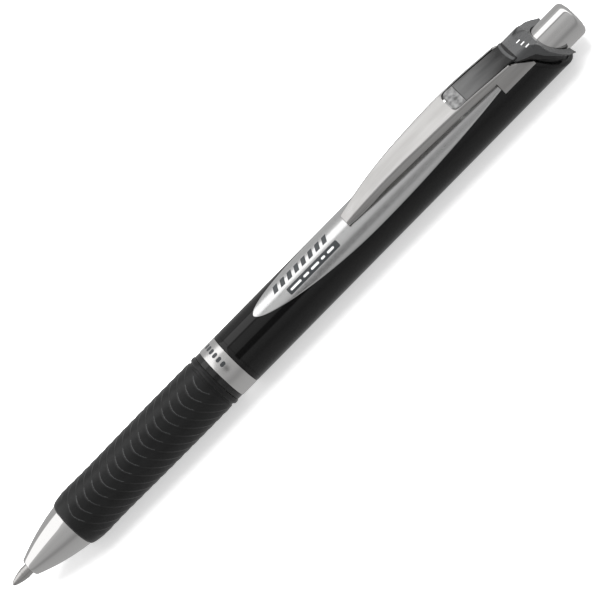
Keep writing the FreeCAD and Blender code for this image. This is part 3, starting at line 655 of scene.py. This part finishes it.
CLIP_CREST, CLIP_CREST_Z = 109.0, 9.07
CLIP_SPLIT, CLIP_SPLIT_Z = CLIP[1], 7.98
CLIP_FRONT_Z, CLIP_FOOT_Z = 6.76, 5.64
CLIP_FRONT_ROUND, CLIP_REAR_ROUND, CLIP_SIDE_ROUND = 68.0, 87.5, 380.0
CLIP_FRONT_HALF, CLIP_HALF = 1.22, 2.95
ROOT_FALL = 0.14                  # how fast the root's top falls rearwards
FOLD = 0.42                       # outer radius of the folded edges
SHEET = 0.4
SLOT_FRONT, SLOT_CORNER = 117.45, 1.15
CAP_FRONT, CAP_SLOPE = 139.4, 1.25
ROOT_FLARE_Y, ROOT_FLARE_Z = 4.05, 3.84


def clip_top(s):
    """Height of the clip's flat face above the axis."""
    if s > CLIP_SPLIT:
        return CLIP_SPLIT_Z - ROOT_FALL * (s - CLIP_SPLIT)
    if s > CLIP_CREST:
        points = arc((CLIP_CREST, CLIP_CREST_Z), (CLIP_SPLIT, CLIP_SPLIT_Z), CLIP_REAR_ROUND, 40)
    else:
        points = arc((CLIP[0], CLIP_FRONT_Z), (CLIP_CREST, CLIP_CREST_Z), CLIP_FRONT_ROUND, 40)
    return along(points, s)


def clip_half_width(s):
    table = arc((CLIP[0], CLIP_FRONT_HALF), (CLIP_SPLIT, CLIP_HALF), CLIP_SIDE_ROUND, 20)
    return along(table, s) if s < CLIP_SPLIT else CLIP_HALF


def clip_low(s):
    """Lower edge of the folded sides."""
    table = [(CLIP[0], 5.68), (92.5, 5.72), (95.0, 6.0), (99.0, 6.75), (104.0, 7.02),
             (109.0, 7.12), (118.0, 6.96), (CLIP_SPLIT, 6.05)]
    return along(table, s)


FLAT_COLUMNS = [math.sin(math.pi / 2 * k / 10) for k in range(11)]
FOLD_STEPS, SIDE_STEPS, FLARE_STEPS = 5, 4, 5


def clip_section(s, low, flare):
    """Half of the clip's outer section from its middle outwards: (y, z) points. With flare the
    side runs on down to the barrel."""
    top, wide = clip_top(s), clip_half_width(s)
    flat = wide - FOLD
    points = [(flat * c, top) for c in FLAT_COLUMNS]
    for k in range(1, FOLD_STEPS + 1):
        a = math.pi / 2 * k / FOLD_STEPS
        points.append((flat + FOLD * math.sin(a), top - FOLD + FOLD * math.cos(a)))
    start = top - FOLD
    points += [(wide, mix(start, low, k / SIDE_STEPS)) for k in range(1, SIDE_STEPS + 1)]
    if flare:
        for k in range(1, FLARE_STEPS + 1):
            t = k / FLARE_STEPS
            points.append((mix(wide, ROOT_FLARE_Y, smooth(t) * 0.35 + t * 0.65),
                           mix(low, ROOT_FLARE_Z, t)))
    return points


def make_clip():
    """One pressed sheet: front flange, arm, slot and the flared root, bent across the joint."""
    verts, faces, rows = [], [], []
    flat_count = len(FLAT_COLUMNS)

    def add_row(points):
        """points: (s, y, z) from the middle outwards; mirrored to the other side."""
        row = []
        for s, y, z in reversed(points[1:]):
            verts.append(place_yz(s, -y, z))
            row.append(len(verts) - 1)
        for s, y, z in points:
            verts.append(place_yz(s, y, z))
            row.append(len(verts) - 1)
        rows.append((row, len(points)))

    def arm_row(s, shift=None):
        section = clip_section(s, clip_low(s), False)
        if shift:
            section = [clip_section(s + shift(y), clip_low(s + shift(y)), False)[i]
                       for i, (y, z) in enumerate(section)]
            return [(s + shift(y), y, z) for y, z in section]
        return [(s, y, z) for y, z in section]

    front = CLIP[0]
    lip = clip_section(front + 0.12, clip_low(front), False)
    add_row([(front, y, CLIP_FOOT_Z) for y, z in lip])
    add_row([(front, y, mix(CLIP_FOOT_Z, z, 0.5)) for y, z in lip])
    add_row([(front, y, z - 0.22 if z > 6.3 else z) for y, z in lip])
    add_row([(front + 0.06, y, z - 0.07 if z > 6.3 else z) for y, z in lip])
    for s in spaced(front + 0.22, SLOT_FRONT - 0.9, 0.9):
        add_row(arm_row(s))
    slot_half = clip_half_width(SLOT_FRONT) - FOLD

    def slot_curve(y):
        """How far the rounded slot front lies behind its middle."""
        over = abs(y) - (slot_half - SLOT_CORNER)
        if over <= 0:
            return 0.0
        return SLOT_CORNER - math.sqrt(max(0.0, SLOT_CORNER ** 2 - min(over, SLOT_CORNER) ** 2))

    for t in (0.45, 1.0):
        add_row(arm_row(mix(SLOT_FRONT - 0.9, SLOT_FRONT, t), lambda y: t * slot_curve(y)))
    slot_row = len(rows) - 1
    for s in spaced(SLOT_FRONT + 1.6, CLIP_SPLIT - 0.02, 1.1):
        add_row(arm_row(s))
    rear = CAP_FRONT - 0.12
    for t in spaced(0.0, 1.0, 1 / 7):
        section = clip_section(ROOT[0], 6.6, True)
        points = []
        for y, z in section:
            fall = ROOT_FALL * smooth((z - 5.5) / 2.0)
            cap_face = (rear - CAP_SLOPE * (z + fall * ROOT[0])) / (1 - CAP_SLOPE * fall)
            s = mix(ROOT[0], min(ROOT[1], cap_face), t)
            points.append((s, y, z - fall * (s - ROOT[0])))
        add_row(points)

    for i in range(len(rows) - 1):
        (row_a, half_a), (row_b, half_b) = rows[i], rows[i + 1]
        middle_a, middle_b = len(row_a) // 2, len(row_b) // 2
        shared = min(half_a, half_b) - 1
        for k in range(-shared, shared):
            inside = max(abs(k), abs(k + 1)) <= flat_count - 1
            if i >= slot_row and inside:
                continue
            faces.append((row_a[middle_a + k], row_a[middle_a + k + 1],
                          row_b[middle_b + k + 1], row_b[middle_b + k]))

    def thicken(obj):
        work = bmesh.new()
        work.from_mesh(obj.data)
        loose = [v for v in work.verts if not v.link_faces]
        bmesh.ops.delete(work, geom=loose, context="VERTS")
        bmesh.ops.recalc_face_normals(work, faces=work.faces)
        top = max(work.faces, key=lambda f: f.calc_center_median().z)
        if top.normal.z < 0:
            bmesh.ops.reverse_faces(work, faces=work.faces)
        work.to_mesh(obj.data)
        work.free()
        solid = obj.modifiers.new("sheet", "SOLIDIFY")
        solid.thickness = SHEET * MM
        solid.offset = -1
        solid.use_even_offset = False
        bevel = obj.modifiers.new("edges", "BEVEL")
        bevel.width = 0.06 * MM
        bevel.segments = 2
        bevel.limit_method = "ANGLE"
        bevel.angle_limit = math.radians(50)

    clip = piece("pocket_clip", (verts, faces), STEEL, None,
                 ["clip_arm", "clip_root"], angle=38, modify=thicken)
    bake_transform(clip)


# ------------------------------------------------------------------ tail cap

HUMP_Y, HUMP_Z, HUMP_R = 1.65, 5.66, 1.31
BUTTON_BORE = 3.87
SLEEVE_FRONT, SLEEVE_R, SLEEVE_MIDDLE = 124.2, 4.56, 4.2
WING_Z = -0.76                    # height of the side wings' pointed ends


def cap_radius(angle):
    """Outside of the cap: the barrel's circle and the rounded hump under one taut skin."""
    away = abs((angle + math.pi) % (2 * math.pi) - math.pi)
    top = (HUMP_Z + HUMP_R) / max(math.cos(away), 1e-6)
    corner = math.atan2(HUMP_Y, HUMP_Z + HUMP_R)
    if away <= corner:
        return top
    reach_to = math.hypot(HUMP_Y, HUMP_Z)
    hump_angle = math.atan2(HUMP_Y, HUMP_Z)
    lean = math.acos((BARREL_R - HUMP_R) / reach_to)
    touch = hump_angle + lean
    if away >= touch:
        return BARREL_R
    flat = BARREL_R / math.cos(touch - away)
    off = away - hump_angle
    inside = HUMP_R ** 2 - (reach_to * math.sin(off)) ** 2
    if inside > 0:
        circle = reach_to * math.cos(off) + math.sqrt(inside)
        tangent_angle = math.atan2(HUMP_Y + HUMP_R * math.sin(touch),
                                   HUMP_Z + HUMP_R * math.cos(touch))
        if away < tangent_angle:
            return circle
    return flat


# rear edge of the cap: height above the axis and distance s
SADDLE = [(WING_Z, 140.35), (0.2, 139.4), (2.0, 138.1), (3.7, 137.1), (5.2, 136.7),
          (6.1, 136.4), (6.6, 135.9), (6.88, 135.2), (6.98, 134.4)]
WING_ANGLE = math.acos(WING_Z / BARREL_R)


def cap_front(r, angle):
    return CAP_FRONT - CAP_SLOPE * r * math.cos(angle)


def cap_rear(r, angle):
    return along(SADDLE, r * math.cos(angle))


FACET, FACET_DEPTH = 2.0, 0.5


def cap_facet(angle):
    """Front and rear of the shallow facet along the cap's front edge, and its depth."""
    outer = cap_radius(angle)
    front = cap_front(outer, angle)
    length = max(cap_rear(outer, angle) - front, 0.02)
    share = min(0.12 + 0.88 * smooth((abs(angle) - 0.35) / 0.3), 0.5 * length / FACET)
    return front, front + FACET * share, FACET_DEPTH * share


def facet_loop(angle):
    outer = cap_radius(angle)
    front, rear, depth = cap_facet(angle)
    low = outer - depth
    start = min(cap_front(low, angle), rear - 0.004)
    return [place(s, r, angle) for s, r in (
        (start, low - 0.3), (start, low), (mix(start, rear, 0.06), low + 0.1 * depth),
        (mix(start, rear, 0.9), outer - 0.06 * depth), (rear, outer - 0.02), (rear, low - 0.3))]


def cap_loop(angle):
    """Closed section of the cap at one angle: skin, rounded rear edge and bore."""
    outer = cap_radius(angle)
    begin = cap_facet(angle)[1]
    rear = cap_rear(outer, angle)
    edge = min(0.4, 0.3 * max(rear - begin, 0.01))
    points = [(begin, outer - 0.05)]
    points += [(mix(begin + 0.02, rear - edge, k / 10), outer) for k in range(11)]
    points += [(rear - edge * (1 - math.sin(a)), outer - edge * (1 - math.cos(a)))
               for a in (math.pi / 8, math.pi / 4, 3 * math.pi / 8, math.pi / 2)]
    inner_rear = cap_rear(BUTTON_BORE, angle)
    for t in (0.35, 0.7, 0.96):
        r = mix(outer - edge, BUTTON_BORE, t)
        points.append((cap_rear(r, angle), r))
    points.append((inner_rear - 0.06, BUTTON_BORE))
    points.append((min(cap_front(BUTTON_BORE, angle), inner_rear - 0.1), BUTTON_BORE))
    return [place(s, r, angle) for s, r in points]


def make_cap():
    """Smoke cap: hump and side wings, the sleeve inside the barrel and the tongue."""
    steps = 120
    skin = loft([cap_loop(mix(-WING_ANGLE, WING_ANGLE, k / steps)) for k in range(steps + 1)])

    def sleeve_profile(angle):
        low = barrel_end(SLEEVE_R, angle) - 0.35
        if math.cos(angle) * SLEEVE_MIDDLE > WING_Z:
            low = max(low, cap_rear(SLEEVE_MIDDLE, angle) - 0.3)
        return [(SLEEVE_FRONT, BUTTON_BORE), (SLEEVE_FRONT, SLEEVE_R), (low - 0.05, SLEEVE_R),
                (low, SLEEVE_R - 0.06), (low, BUTTON_BORE + 0.06), (low - 0.05, BUTTON_BORE)]

    facet = loft([facet_loop(mix(-WING_ANGLE, WING_ANGLE, k / steps)) for k in range(steps + 1)])
    piece("cap_skin", skin, SMOKE, "barrel", ["tail_cap"], angle=34)
    # the chamfer along the cap's front edge gets the darker smoke: painted shade
    piece("cap_facet", facet, DARK_SMOKE, "barrel", angle=34)
    piece("cap_sleeve", turned(sleeve_profile, 144), DARK_SMOKE, "barrel", angle=40)

    front, rear = SLOT_FRONT + 0.3, 132.1
    loops = []
    corner = 1.05
    stations = [front + corner * (1 - math.cos(math.pi / 2 * k / 8)) for k in range(9)]
    stations += spaced(front + corner + 0.8, rear, 0.9)
    for s in stations:
        wide = 2.36
        if s < front + corner:
            inside = corner ** 2 - (front + corner - s) ** 2
            wide -= corner - math.sqrt(max(0.0, inside))
        top = clip_top(s) - 0.08
        floor = along([(front, 7.1), (126.0, 6.3), (rear, 6.25)], s)
        drop = 0.25 * (1 - smooth((s - front) / 0.5))
        outline = [(-wide, floor), (wide, floor), (wide, top - drop), (-wide, top - drop)]
        loops.append([place_yz(s, y, z) for y, z in soften(outline, 0.28, 4)])
    piece("clip_window", loft(loops), WINDOW, "barrel", angle=40)

    for name, material, middle, half_length, height in (
            ("window_line", DARK_SMOKE, WINDOW_LINE, 0.07, 0.02),
            ("window_rim", SMOKE, 131.2, 0.30, 0.14)):
        loops = []
        for y in spaced(-2.32, 2.32, 0.2):
            bow = 0.35 * (y / 2.32) ** 2 * (height > 0.1)
            top = clip_top(middle) - 0.08
            outline = ((-1, -0.3), (-1, height * 0.3), (-0.4, height), (0.4, height),
                       (1, height * 0.3), (1, -0.3))
            loops.append([place_yz(middle + half_length * share + bow, y, top + rise)
                          for share, rise in outline])
        piece(name, loft(loops), material, "barrel", angle=50)
    # black block for the dark inside of the small slot at the tongue's rear: painted shade
    slot = loft([[place_yz(s, y, clip_top(131.8) + z) for y, z in (
        (-1.35, -0.2), (-0.35, -0.2), (-0.35, -0.04), (-1.35, -0.04))] for s in (131.55, 132.05)])
    piece("window_slot", slot, BLACK, "barrel")


def make_cap_marks():
    """Plain sign on the cap: three short bars side by side, which spell nothing."""
    half_length, half_width, lift = 0.42, 0.10, 0.03
    corners = ((-half_width, 0.0), (-half_width, lift), (half_width, lift), (half_width, 0.0))
    for i in range(3):
        middle_s, middle_angle = 134.3 + 0.3 * i, math.radians(1.0 + 8.0 * i)
        loops = []
        for s in spaced(middle_s - half_length, middle_s + half_length, half_length / 4):
            angles = [(middle_angle + across / 6.3, rise) for across, rise in corners]
            loops.append([place(s, cap_radius(a) + rise, a) for a, rise in angles])
        piece(f"cap_bar_{i + 1}", loft(loops), PALE_PRINT, "barrel")


# ------------------------------------------------------------------ push button

def make_button():
    """Plated push button: skirt, rounded edge and flat middle."""
    start, end = BUTTON
    outer, wall, corner, flat, roof = 3.7, 0.5, 1.15, 2.0, 1.4
    rim = end - 0.15
    profile = [(start, outer - wall), (start, outer - 0.08), (start + 0.08, outer)]
    profile += [(s, outer) for s in spaced(start + 1.0, rim - corner - 0.4, 2.0)]
    profile += arc((rim - corner, outer), (rim, outer - corner), corner, 12)
    profile += [(mix(rim, end, 0.55), mix(outer - corner, flat, 0.45)), (end, flat), (end, 1.0),
                (end, 0.0), (end - roof, 0.0), (end - roof, outer - wall)]
    piece("push_button", turned(profile, 160), BUTTON_CHROME, "button",
          ["plunger"], angle=30)


def make_spring():
    """Coil between the nose cone and the refill's shoulder, drawn as short as it gets with the
    button pressed home."""
    start, end = reach("return_spring")
    coil, wire, turns, press = 2.0, 0.2, 9.0, 1.25
    start, end = start + wire, end - wire - press
    sides, per_turn = 8, 28
    count = int((turns + 2) * per_turn)
    loops = []
    for i in range(count + 1):
        turn = i / per_turn
        share = min(1.0, max(0.0, (turn - 1) / turns))
        flat = 2.1 * wire * (min(turn, 1) + max(0.0, turn - turns - 1))
        s = mix(start, end - 4.2 * wire, share) + flat
        angle = 2 * math.pi * turn
        loops.append([place(s + wire * math.sin(a), coil + wire * math.cos(a), angle)
                      for a in (2 * math.pi * k / sides for k in range(sides))])
    piece("coil_spring", loft(loops), WIRE, "spring", ["return_spring"], angle=60)


def finish_inner_nodes():
    """Materials of the CAD nodes that stay as they are."""
    looks = {
        "refill_ball": BALL, "refill_holder": CLEAR, "ink_tube": CLEAR, "ink": INK,
        "grease_follower": GREASE, "refill_plug": DARK_PLASTIC,
        "thrust_tube": NATURAL, "rotor": DARK_PLASTIC, "cam_guide": NATURAL,
    }
    for node, material in looks.items():
        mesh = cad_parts[node].data
        mesh.materials.clear()
        mesh.materials.append(material)


# ------------------------------------------------------------------ studio

VIEW_TILT = math.radians(34)      # between the view and the clip's face
VIEW_LEAN = math.radians(3.5)     # the rear of the pen is a little nearer
ROLL = math.radians(45.45)        # the pen rises to the right in the picture
DISTANCE = 600.0
SENSOR = 36.0
WIDTH_SEEN = 108.5
MIDDLE_S = 72.5
AIM = (1.53, 0.36)                # the picture's centre from the pen's middle, right and up


def view_axes():
    base = Vector((0, -math.sin(VIEW_TILT), math.cos(VIEW_TILT)))
    towards = base * math.cos(VIEW_LEAN) + Vector((1, 0, 0)) * math.sin(VIEW_LEAN)
    along_pen = (Vector((1, 0, 0)) - towards * towards.x).normalized()
    across = towards.cross(along_pen)
    right = along_pen * math.cos(ROLL) - across * math.sin(ROLL)
    up = along_pen * math.sin(ROLL) + across * math.cos(ROLL)
    return right, up, towards


def make_camera():
    right, up, towards = view_axes()
    camera_data = bpy.data.cameras.new("camera")
    camera_data.sensor_width = SENSOR
    camera_data.lens = SENSOR * DISTANCE / WIDTH_SEEN
    camera_data.clip_start = 0.01
    camera = bpy.data.objects.new("camera", camera_data)
    bpy.context.scene.collection.objects.link(camera)
    target = place(MIDDLE_S, 0, 0) + (right * AIM[0] + up * AIM[1]) * MM
    location = target + towards * DISTANCE * MM
    matrix = camera.matrix_world.copy()
    for row in range(3):
        matrix[row][0], matrix[row][1], matrix[row][2] = right[row], up[row], towards[row]
        matrix[row][3] = location[row]
    camera.matrix_world = matrix
    bpy.context.scene.camera = camera


def make_floor():
    size = 3.0
    corners = [(-size, -size, 0), (size, -size, 0), (size, size, 0), (-size, size, 0)]
    mesh = bpy.data.meshes.new("floor")
    mesh.from_pydata(corners, [], [(0, 1, 2, 3)])
    floor = bpy.data.objects.new("floor", mesh)
    bpy.context.scene.collection.objects.link(floor)
    made = Nodes("floor_paper")
    made.set(Base_Color=made.blend(made.noise(3.0), grey(0.93), grey(0.92)), Roughness=0.9)
    made.shader.inputs["Emission Color"].default_value = grey(1.0)
    made.shader.inputs["Emission Strength"].default_value = 0.5
    mesh.materials.append(made.material)
    floor.location.z = -0.00002
    floor.visible_glossy = False


# brightness of the studio by the angle in degrees round the pen's length, 0 at the camera
STUDIO = [(-180, 0.56), (-128, 0.52), (-90, 0.50), (-65, 0.46), (-48, 0.34), (-38, 0.38),
          (-30, 0.46), (-14, 0.52), (0, 0.52), (15, 0.56), (30, 0.66), (46, 0.66), (51, 0.34),
          (54, 0.34), (57, 1.6), (87, 1.6), (90, 0.34), (93, 0.66), (108, 0.52), (140, 0.54)]
STUDIO_PEAK = 2.0                 # brightest value that the ramp can hold
SOFTBOX_TURN = 72.0               # middle of the softbox, in the same degrees
SOFTBOX_LEVEL, SOFTBOX_HALF, SOFTBOX_WIDENS = 1.5, 14.0, 24.0
CAMERA_HALF, CAMERA_DARKNESS = 12.0, 0.93


def make_studio():
    """Soft surroundings: a long softbox above and behind, dim sides and the dark camera."""
    world = bpy.data.worlds.new("studio")
    bpy.context.scene.world = world
    world.use_nodes = True
    tree = world.node_tree
    tree.nodes.clear()

    def add(kind, **settings):
        node = tree.nodes.new(kind)
        for key, value in settings.items():
            setattr(node, key, value)
        return node

    def math_node(operation, first, second=None, third=None, clamp=False):
        node = add("ShaderNodeMath", operation=operation)
        node.use_clamp = clamp
        for i, value in enumerate((first, second, third)):
            if value is None:
                continue
            if hasattr(value, "is_output"):
                tree.links.new(value, node.inputs[i])
            else:
                node.inputs[i].default_value = value
        return node.outputs[0]

    def dot(vector, direction):
        node = add("ShaderNodeVectorMath", operation="DOT_PRODUCT")
        tree.links.new(vector, node.inputs[0])
        node.inputs[1].default_value = direction
        return node.outputs["Value"]

    direction = add("ShaderNodeTexCoord").outputs["Generated"]
    front = (0, -math.sin(VIEW_TILT), math.cos(VIEW_TILT))
    side = (0, math.cos(VIEW_TILT), math.sin(VIEW_TILT))
    turn = math_node("ARCTAN2", dot(direction, side), dot(direction, front))
    turn = math_node("MULTIPLY", turn, 180 / math.pi)
    tilt = math_node("MULTIPLY", math_node("ARCSINE", dot(direction, (1, 0, 0))), 180 / math.pi)

    share = math_node("MULTIPLY_ADD", turn, 1 / 360, 0.5)
    ramp = add("ShaderNodeValToRGB")
    tree.links.new(share, ramp.inputs[0])
    stops = ramp.color_ramp.elements
    while len(stops) > 1:
        stops.remove(stops[-1])
    stops[0].position = 0.0
    stops[0].color = grey(STUDIO[0][1] / STUDIO_PEAK)
    for angle, value in STUDIO[1:]:
        stop = stops.new(angle / 360 + 0.5)
        stop.color = grey(value / STUDIO_PEAK)
    level = math_node("MULTIPLY", ramp.outputs[0], STUDIO_PEAK)

    # towards the writing end the softbox widens
    spread = math_node("MULTIPLY_ADD", tilt, -1.1, -8.0)
    spread = math_node("MINIMUM", math_node("MAXIMUM", spread, 0.0), SOFTBOX_WIDENS)
    spread = math_node("ADD", spread, SOFTBOX_HALF)
    off = math_node("ABSOLUTE", math_node("SUBTRACT", turn, SOFTBOX_TURN))
    inside = math_node("MULTIPLY_ADD", math_node("SUBTRACT", spread, off), 0.5, 0.5, clamp=True)
    near_end = math_node("MULTIPLY_ADD", tilt, -0.2, -1.6, clamp=True)
    inside = math_node("MULTIPLY", inside, near_end)
    gain = math_node("SUBTRACT", SOFTBOX_LEVEL, level)
    level = math_node("MULTIPLY_ADD", inside, gain, level)

    # the dark camera and its stand
    from_edge = math_node("SUBTRACT", CAMERA_HALF, math_node("ABSOLUTE", turn))
    across = math_node("MULTIPLY_ADD", from_edge, 0.35, 0.5, clamp=True)
    begin = math_node("MULTIPLY_ADD", tilt, -0.6, 0.1, clamp=True)
    stop = math_node("MULTIPLY_ADD", tilt, 0.12, 1.9, clamp=True)
    dark = math_node("MULTIPLY", math_node("MULTIPLY", across, begin), stop)
    keep = math_node("SUBTRACT", 1.0, math_node("MULTIPLY", dark, CAMERA_DARKNESS))
    level = math_node("MULTIPLY", level, keep)

    shine = add("ShaderNodeBackground")
    tree.links.new(level, shine.inputs["Strength"])
    out = add("ShaderNodeOutputWorld")
    tree.links.new(shine.outputs[0], out.inputs[0])


def make_key_light():
    """Large soft lamp over the pen; it lights surfaces but isn't mirrored in them."""
    light = bpy.data.lights.new("key", "AREA")
    light.shape = "DISK"
    light.size = 0.9
    light.energy = 11.0
    lamp = bpy.data.objects.new("key", light)
    bpy.context.scene.collection.objects.link(lamp)
    stand = Vector((0.05, 0.35, 0.75))
    lamp.location = stand
    lamp.rotation_euler = (-stand).to_track_quat("-Z", "Y").to_euler()
    lamp.visible_glossy = False


make_camera()
make_floor()
make_studio()
make_key_light()
make_nose()
make_point()
make_front_tube()
make_grip()
make_band()
make_barrel()
make_inlay()
make_marks()
make_clip()
make_cap()
make_cap_marks()
make_button()
make_spring()
finish_inner_nodes()
bpy.context.scene.view_settings.view_transform = "Standard"
